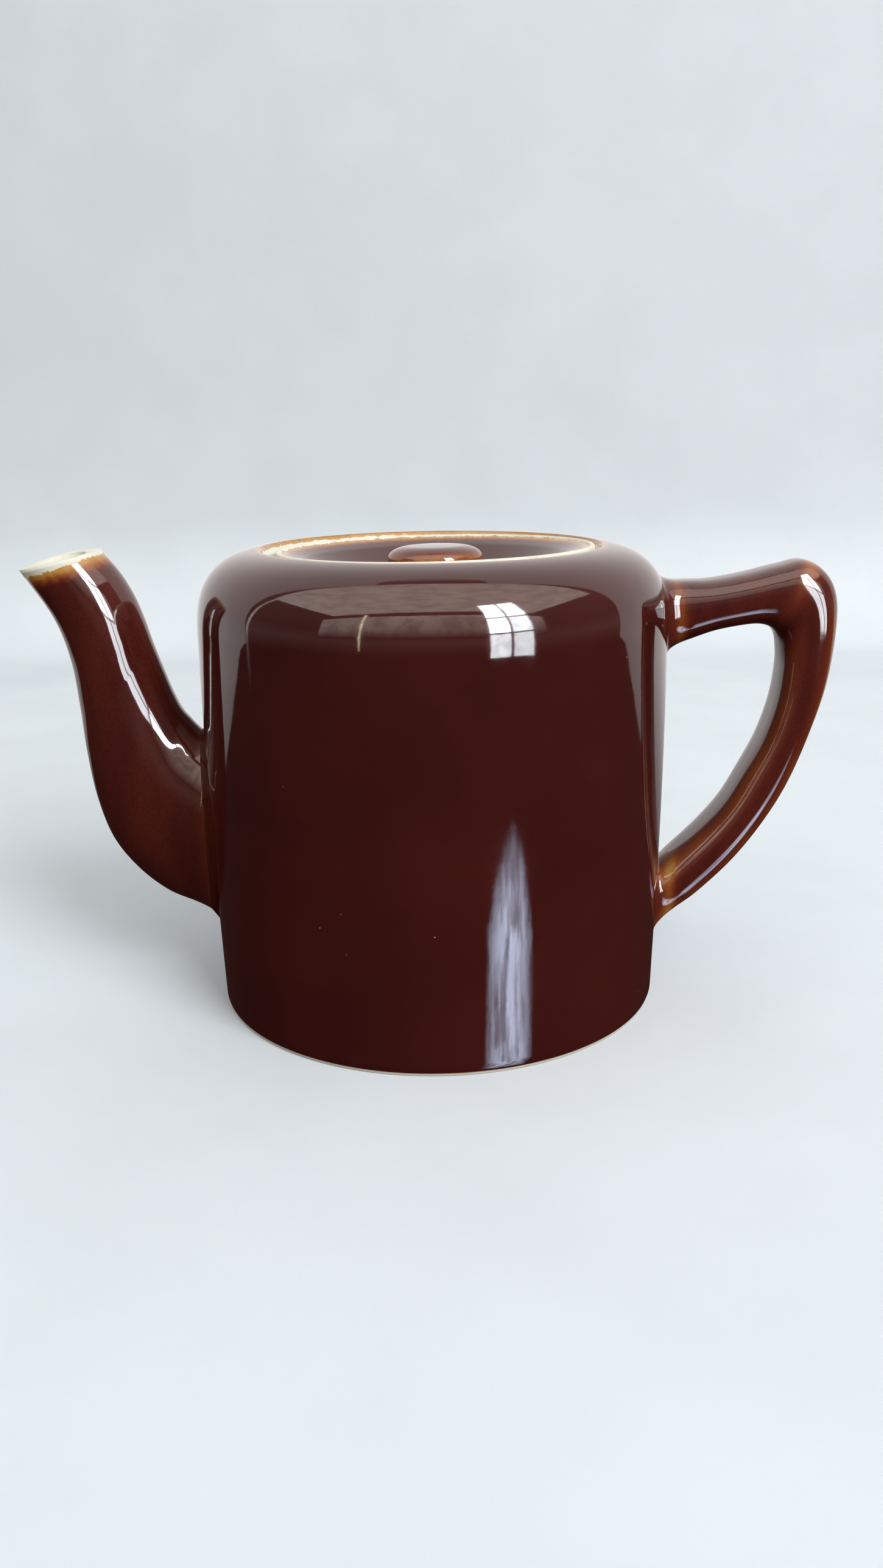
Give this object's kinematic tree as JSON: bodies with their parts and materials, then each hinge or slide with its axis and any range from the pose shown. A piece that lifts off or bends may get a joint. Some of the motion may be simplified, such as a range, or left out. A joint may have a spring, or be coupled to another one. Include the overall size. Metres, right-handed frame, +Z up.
{
  "type": "teapot with infuser basket",
  "caption": "Straight-sided glazed stoneware teapot with a swan-neck spout, angular handle, sunken lid with a button knob, and a lift-out perforated steel infuser basket.",
  "frame": {"origin": "middle of the whole outline in plan, at the height of the surface that the foot ring stands on; the pot's own axis is 0.6 mm to +X of it", "axes": "+X towards the handle, -X towards the spout, +Y away from the side shown, +Z up along the pot's axis"},
  "size_m": [0.2222, 0.128, 0.1274],
  "materials": {
    "brown_glaze": "gloss glaze, deep red-brown, amber where it runs thin and bare cream clay at the mouth, spout lip and foot",
    "lid_glaze": "gloss glaze, deep red-brown, with a bare cream rim",
    "stainless_steel": "satin stainless sheet and wire"
  },
  "bodies": {
    "pot": {"pot_body": "brown_glaze", "spout": "brown_glaze", "handle": "brown_glaze"},
    "infuser": {"infuser_rim": "stainless_steel", "infuser_wall": "stainless_steel", "infuser_floor": "stainless_steel", "infuser_loop_left": "stainless_steel", "infuser_loop_right": "stainless_steel"},
    "lid": {"lid_dish": "lid_glaze", "lid_knob": "lid_glaze"}
  },
  "joints": [
    {"name": "infuser_lift", "type": "slide", "parent": "pot", "child": "infuser", "axis": [0, 0, 1], "range_m": [0, 0.1]},
    {"name": "lid_lift", "type": "slide", "parent": "infuser", "child": "lid", "axis": [0, 0, 1], "range_m": [0, 0.05]}
  ]
}
